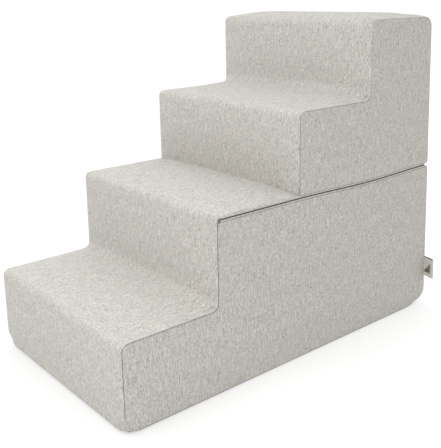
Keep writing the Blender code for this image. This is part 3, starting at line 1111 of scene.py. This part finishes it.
# ---------------------------------------------------------------- label
PLY = 0.00045             # the ribbon's thickness
GAP = 0.0008              # from its middle to each ply
SEWN_IN = 0.0012          # it starts this far inside the seam
HANG = 0.0022             # its free end hangs this much
BOW = 0.0014              # and bends this much to the front
STITCH_RISE = 0.0021
STITCH_STEP = 0.0040


def ribbon_spine(part, near, far, middle):
    """Centre line of the ribbon in plan: out along the front ply, round, and back."""
    straight = far - near - GAP
    total = 2 * straight + math.pi * GAP
    run = part * total
    if straight <= run < total - straight:
        angle = (run - straight) / GAP
        return near + straight + GAP * math.sin(angle), middle - GAP * math.cos(angle)
    out = min(run, total - run)
    spread = GAP * (0.35 + 0.65 * ease(out / straight * 1.4))
    return near + out, middle + (-spread if run < straight else spread)


def make_label():
    """A folded ribbon caught in the rear right seam, with a small stitched row of steps."""
    low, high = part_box("side_label")
    near, far = HALF - SEWN_IN, high.x
    middle = (low.y + high.y) / 2 - 0.0008 + leaned(high.z)
    bottom, top = low.z + 0.002, high.z - 0.001
    count, rows = 64, 28
    line = np.array([ribbon_spine(part, near, far, middle) for part in np.linspace(0, 1, count)])
    k = np.arange(count)
    tangent = units(line[np.minimum(k + 1, count - 1)] - line[np.maximum(k - 1, 0)])
    half_ply = np.stack([tangent[:, 1], -tangent[:, 0]], 1) * PLY / 2
    ring = np.concatenate([line + half_ply, (line - half_ply)[::-1]])
    vertices, uvs = [], []
    for part in np.linspace(0, 1, rows):
        for index, (x, y) in enumerate(ring):
            out = (x - near) / (far - near)
            z = bottom + (top - bottom) * part - HANG * out + (0.0016 if y > middle else 0.0) * part
            bow = -BOW * out * out + 0.0005 * math.sin(3.0 * part + 1.0) * out
            vertices.append((x - 0.0006 * out * out * part, y + bow, z))
            uvs.append((x + index * 1e-5, z))
    size = 2 * count
    faces = grid_faces(rows, size, close_columns=True)
    for base in (0, (rows - 1) * size):
        for k in range(count - 1):
            faces.append((base + k, base + k + 1, base + size - 2 - k, base + size - 1 - k))
    item = build("ribbon_label", vertices, faces, uvs)
    outward(item)
    item.data.set_sharp_from_angle(angle=math.radians(60))
    finish_piece(item, RIBBON, "tub", ["side_label"])
    # The inner faces of the fold get the near-black reverse: dark threads and painted shade between the
    # plies.
    item.data.materials.append(RIBBON_REVERSE_AND_SHADE)
    for polygon in item.data.polygons:
        if all(vertex % size >= count for vertex in polygon.vertices):
            polygon.material_index = 1
    motif = stitched_steps(near, far, middle - GAP - PLY / 2, bottom + 0.0085)


def stitched_steps(near, far, face, bottom):
    """Rows of stitches on the label's front that make three steps."""
    runs = []
    for step in range(3):
        for row in range(3 * step + 3):
            line = []
            for k in range(6):
                x = near + 0.0050 + (step + k / 5.6) * STITCH_STEP
                out = (x - near) / (far - near)
                line.append((x, face - BOW * out * out - 0.00012, bottom + STITCH_RISE * row - HANG * out))
            runs.append((line, 0.00062))
    motif = join_tubes("label_stitching", runs)
    finish_piece(motif, RIBBON_MARK, "tub", [])
    return motif


# ---------------------------------------------------------------- slider and pull
BEVEL = {"affect": "EDGES", "profile": 0.5, "clamp_overlap": True}


def rounded_box(low, high, radius):
    """A box with rounded edges."""
    shape = bmesh.new()
    bmesh.ops.create_cube(shape, size=1.0)
    size = [b - a for a, b in zip(low, high)]
    middle = [(a + b) / 2 for a, b in zip(low, high)]
    bmesh.ops.scale(shape, verts=shape.verts, vec=size)
    offset = min(radius, min(size) * 0.49)
    bmesh.ops.bevel(shape, geom=list(shape.edges), offset=offset, segments=3, **BEVEL)
    bmesh.ops.translate(shape, verts=shape.verts, vec=middle)
    return shape


def merge(name, shapes):
    mesh = bpy.data.meshes.new(name)
    whole = bmesh.new()
    for shape in shapes:
        part = bpy.data.meshes.new("part")
        shape.to_mesh(part)
        whole.from_mesh(part)
        bpy.data.meshes.remove(part)
        shape.free()
    bmesh.ops.recalc_face_normals(whole, faces=whole.faces)
    whole.to_mesh(mesh)
    whole.free()
    mesh.shade_smooth()
    mesh.set_sharp_from_angle(angle=math.radians(40))
    return add_object(name, mesh)


def arch(face, y, half, out_low, out_high, width, thick, sides=10):
    """The slider's bridge: a bar bent from one end of the slider over to the other."""
    shape = bmesh.new()
    bends = np.linspace(0, math.pi, 15)
    for angle in bends:
        run = -half * math.cos(angle)
        out = out_low + (out_high - out_low) * math.sin(angle) ** 0.55
        for a in circle(sides):
            radial = thick / 2 * math.cos(a)
            shape.verts.new((
                face - (out + radial * math.sin(angle)), y + run - radial * math.cos(angle),
                ZIP_Z + width / 2 * math.sin(a),
            ))
    shape.verts.ensure_lookup_table()
    for cell in solid_faces(len(bends), sides):
        shape.faces.new([shape.verts[index] for index in cell])
    return shape


def make_slider():
    """Two plates, a neck between the zip's lips, two flanges and a bridge for the pull."""
    low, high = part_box("zip_slider")
    y = (low.y + high.y) / 2
    half_long, half_tall = (high.y - low.y) / 2, (high.z - low.z) / 2
    face = -HALF + VALLEY * 0.2
    bars = [     # outer and inner depth, share of the length, middle, half height, radius of the edges
        (-0.0014, -0.0002, 1.0, 0.0, half_tall, 0.0006),
        (-0.0022, -0.0012, 0.86, 0.0, half_tall * 0.86, 0.0006),
        (-0.0016, 0.0004, 0.9, -half_tall * 0.86, 0.0004, 0.0003),
        (-0.0016, 0.0004, 0.9, half_tall * 0.86, 0.0004, 0.0003),
        (-0.0004, 0.0016, 0.8, 0.0, 0.0003, 0.0001),
    ]
    shapes = [
        rounded_box((face + outer, y - half_long * share, ZIP_Z + middle - half),
                    (face + inner, y + half_long * share, ZIP_Z + middle + half), radius)
        for outer, inner, share, middle, half, radius in bars
    ]
    shapes.append(arch(face, y, 0.0030, 0.0018, 0.0051, 0.0021, 0.0009))
    finish_piece(merge("slider_body", shapes), METAL, "slider", ["zip_slider"])


def make_pull():
    """The pull tab: a flat drop of metal with a hole for the bar and one in its grip."""
    low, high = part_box("zip_pull")
    x = (low.x + high.x) / 2
    pin_y = high.y - (high.x - low.x) / 2
    reach = pin_y - low.y
    wide = (high.z - low.z) / 2
    outline = []
    for part in np.linspace(0, 1, 19):
        swell = 0.62 + 0.38 * float(ease(part / 0.35))
        close = math.sqrt(max(0.0, 1 - max(0.0, (part - 0.86) / 0.14) ** 2))
        outline.append((reach * part - 0.0004, max(wide * swell * close, 0.0004)))
    loops = [outline + [(run, -up) for run, up in reversed(outline)]]
    for middle, long, tall in ((0.0023, 0.0019, 0.0017), (reach - 0.0050, 0.0022, 0.0016)):
        loops.append([(middle + long * math.cos(t), tall * math.sin(t)) for t in circle(24)])
    shape = bmesh.new()
    edges = []
    for loop in loops:
        made = [shape.verts.new((x, pin_y - run, ZIP_Z + up)) for run, up in loop]
        edges += [shape.edges.new(pair) for pair in zip(made, made[1:] + made[:1])]
    bmesh.ops.triangle_fill(shape, use_beauty=True, edges=edges)
    thick = (high.x - low.x) * 0.86
    grown = bmesh.ops.extrude_face_region(shape, geom=list(shape.faces))["geom"]
    lifted = [part for part in grown if isinstance(part, bmesh.types.BMVert)]
    bmesh.ops.translate(shape, verts=lifted, vec=(thick, 0, 0))
    bmesh.ops.translate(shape, verts=shape.verts, vec=(-thick / 2, 0, 0))
    bmesh.ops.recalc_face_normals(shape, faces=shape.faces)
    rims = [e for e in shape.edges if len(e.link_faces) == 2 and e.calc_face_angle(0) > 1.2]
    bmesh.ops.bevel(shape, geom=rims, offset=0.00018, segments=2, **BEVEL)
    finish_piece(merge("pull_tab", [shape]), METAL, "pull", ["zip_pull"])


make_cover()
make_seams()
make_base_seam()
make_zip()
make_tacks()
make_foam()
make_liner()
make_base()
make_label()
make_slider()
make_pull()


# ---------------------------------------------------------------- floor, light and camera
PAPER_LIGHT = 0.50                   # what the floor gives off towards the stair
PAPER_SEEN = (0.41, 0.512, 0.58)     # what shows of it: before the stair, beside it and far away
SKY_LEVEL = 0.45
SKY_SLOPE = (-0.315, 0.315, 0.967)   # the studio is brighter above, and to the left and behind
BACKDROP = 1.05                      # the plain white that shows behind the floor
SOFTBOXES = {                        # place, aim, width, height, watts and colour
    "right_softbox": ((1.3, -1.4, 1.0), (0, -0.1, 0.2), 1.0, 0.8, 9.0, (1.0, 0.98, 0.94)),
    "front_softbox": ((-0.1, -1.1, 1.5), (0, -0.25, 0.1), 0.8, 0.8, 6.6, (0.99, 1.0, 1.0)),
    "left_softbox": ((-1.6, 0.2, 1.3), (0, 0, 0.3), 1.2, 1.2, 4.1, (0.99, 1.0, 1.0)),
}
CAMERA_AT = Vector((0.9775, -0.8161, 0.6030))
CAMERA_TURN, CAMERA_LIFT, CAMERA_ROLL = (math.radians(angle) for angle in (50.32, 12.74, -1.01))
CAMERA_LENS = 58.85
CAMERA_SHIFT = -0.147


def floor_glow(paper):
    """The paper's own light: even where it lights the stair, evened out to plain white where it shows."""
    where = paper.node("TexCoord", "Object")
    forward = paper.node("VectorMath", "Value", {0: where, 1: (0.6, 0.8, 0)}, operation="DOT_PRODUCT")
    away = paper.node("VectorMath", "Value", {0: where}, operation="LENGTH")

    def spread(value, near, far, low, high):
        inputs = {"Value": value, "From Min": near, "From Max": far, "To Min": low, "To Max": high}
        return paper.node("MapRange", "Result", inputs, interpolation_type="SMOOTHSTEP")

    before, beside, far = PAPER_SEEN
    glow = paper.node("Math", "Value", {
        0: spread(forward, -0.45, 0.2, before, beside), 1: spread(away, 0.9, 2.0, 0.0, far - beside),
    })
    return seen_or(paper, PAPER_LIGHT, glow)


def seen_or(shade, unseen, seen):
    """One strength for the light on the stair, and another for what the camera sees."""
    direct = shade.node("LightPath", "Is Camera Ray")
    return shade.node("Mix", "Result", {"Factor": direct, "A": unseen, "B": seen})


def make_floor():
    mesh = bpy.data.meshes.new("studio_floor")
    mesh.from_pydata([(-12, -12, 0), (12, -12, 0), (12, 12, 0), (-12, 12, 0)], [], [(0, 1, 2, 3)])
    floor = add_object("studio_floor", mesh)
    paper = new_shading("studio_paper")
    tone = paper.noise(paper.solid(), 2, scale=3.0)
    paper.fill(paper.output, {
        "Base Color": paper.ramp(tone, (0, (0.49,) * 3), (1, (0.51,) * 3)), "Emission Color": (1, 1, 1, 1),
        "Emission Strength": floor_glow(paper), "Roughness": 0.9, "Specular IOR Level": 0.0,
    })
    floor.data.materials.append(paper.owner)


def make_world():
    world = bpy.data.worlds.new("studio")
    bpy.context.scene.world = world
    sky = Shading(world, "Background")
    where = sky.node("TexCoord", "Generated")
    facing = sky.node("VectorMath", "Value", {0: where, 1: SKY_SLOPE}, operation="DOT_PRODUCT")
    level = sky.node("Math", "Value", {0: facing, 1: SKY_LEVEL}, operation="ADD")
    sky.fill(sky.output, {"Color": (0.99, 1.0, 1.0, 1), "Strength": seen_or(sky, level, BACKDROP)})


def make_softboxes():
    for name, (place_at, aim, width, height, watts, colour) in SOFTBOXES.items():
        area = bpy.data.lights.new(name, "AREA")
        area.shape = "RECTANGLE"
        area.size, area.size_y = width, height
        area.energy = watts
        area.color = colour
        lamp = add_object(name, area)
        lamp.location = place_at
        lamp.rotation_euler = (Vector(aim) - Vector(place_at)).to_track_quat("-Z", "Y").to_euler()


def make_camera():
    """A camera to the front right of the stair, a little above its top."""
    turn, lift, roll = CAMERA_TURN, CAMERA_LIFT, CAMERA_ROLL
    back = Vector((math.sin(turn) * math.cos(lift), -math.cos(turn) * math.cos(lift), math.sin(lift)))
    right = Vector((math.cos(turn), math.sin(turn), 0))
    up = back.cross(right)
    right, up = right * math.cos(roll) + up * math.sin(roll), up * math.cos(roll) - right * math.sin(roll)
    data = bpy.data.cameras.new("camera")
    data.sensor_width = 36
    data.lens = CAMERA_LENS
    data.shift_y = CAMERA_SHIFT
    camera = add_object("camera", data)
    camera.matrix_world = Matrix.Translation(CAMERA_AT) @ Matrix((right, up, back)).transposed().to_4x4()
    bpy.context.scene.camera = camera


make_floor()
make_world()
make_softboxes()
make_camera()
bpy.context.scene.view_settings.view_transform = "Standard"
